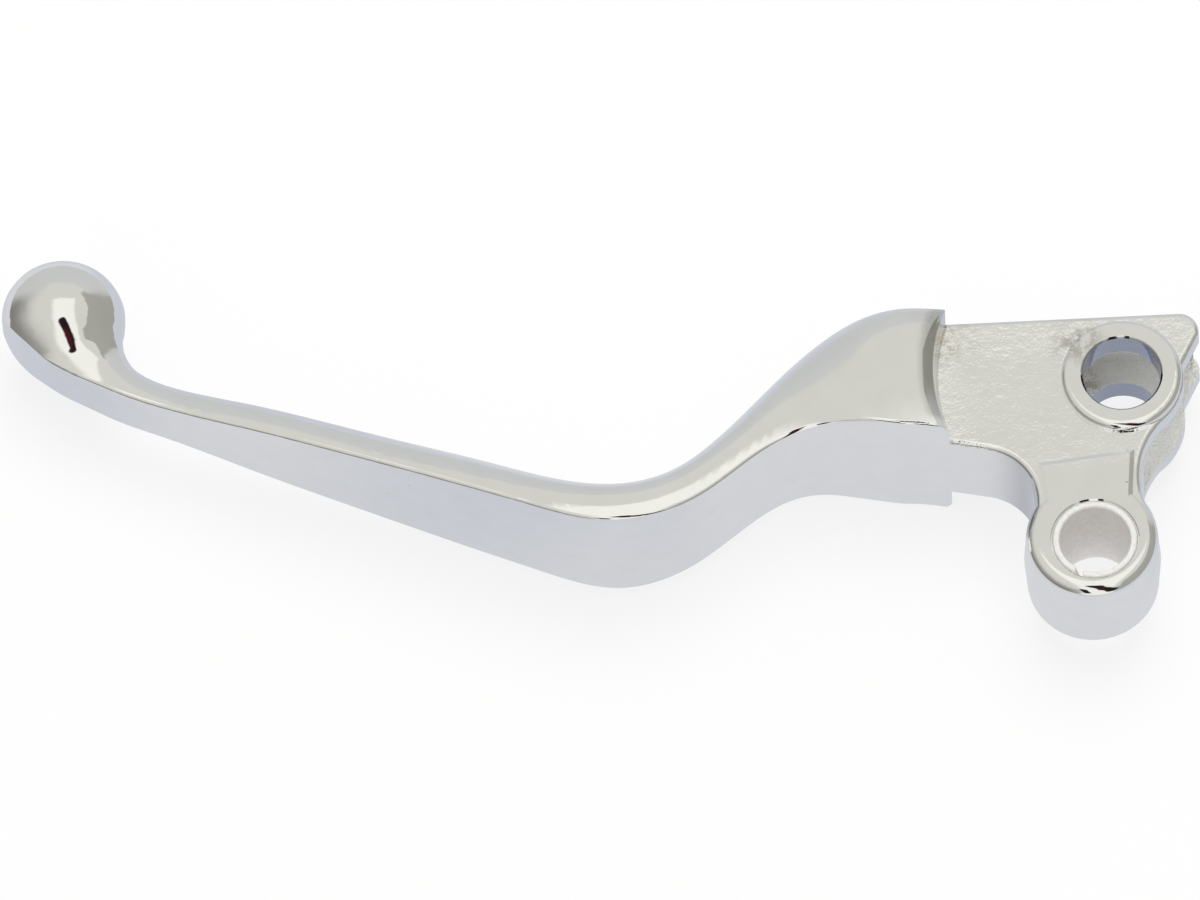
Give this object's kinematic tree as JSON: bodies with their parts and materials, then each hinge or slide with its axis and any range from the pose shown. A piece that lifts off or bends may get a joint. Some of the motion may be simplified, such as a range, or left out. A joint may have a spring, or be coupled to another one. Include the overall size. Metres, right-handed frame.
{
  "type": "clutch lever",
  "caption": "Hand lever with a ball end and a flat-backed blade, a forked end with raised bored pads for the cable anchor, and a pivot boss lined with a split bush.",
  "frame": {"origin": "on the pivot bore's axis, half way up the pivot boss", "axes": "+Z along the pivot bore, -X towards the ball end along the straight back edge of the ears, +Y away from the handlebar grip"},
  "size_m": [0.1838, 0.0712, 0.029],
  "materials": {
    "chromed_casting": "mirror chrome over die-cast aluminium",
    "bush_plastic": "natural milky nylon"
  },
  "bodies": {
    "lever": {"lever_body": "chromed_casting"},
    "bush": {"pivot_bush": "bush_plastic"}
  },
  "joints": [
    {"name": "bush_turn", "type": "hinge", "parent": "lever", "child": "bush", "pos_m": [0, 0, 0], "axis": [0, 0, 1], "continuous": true}
  ]
}
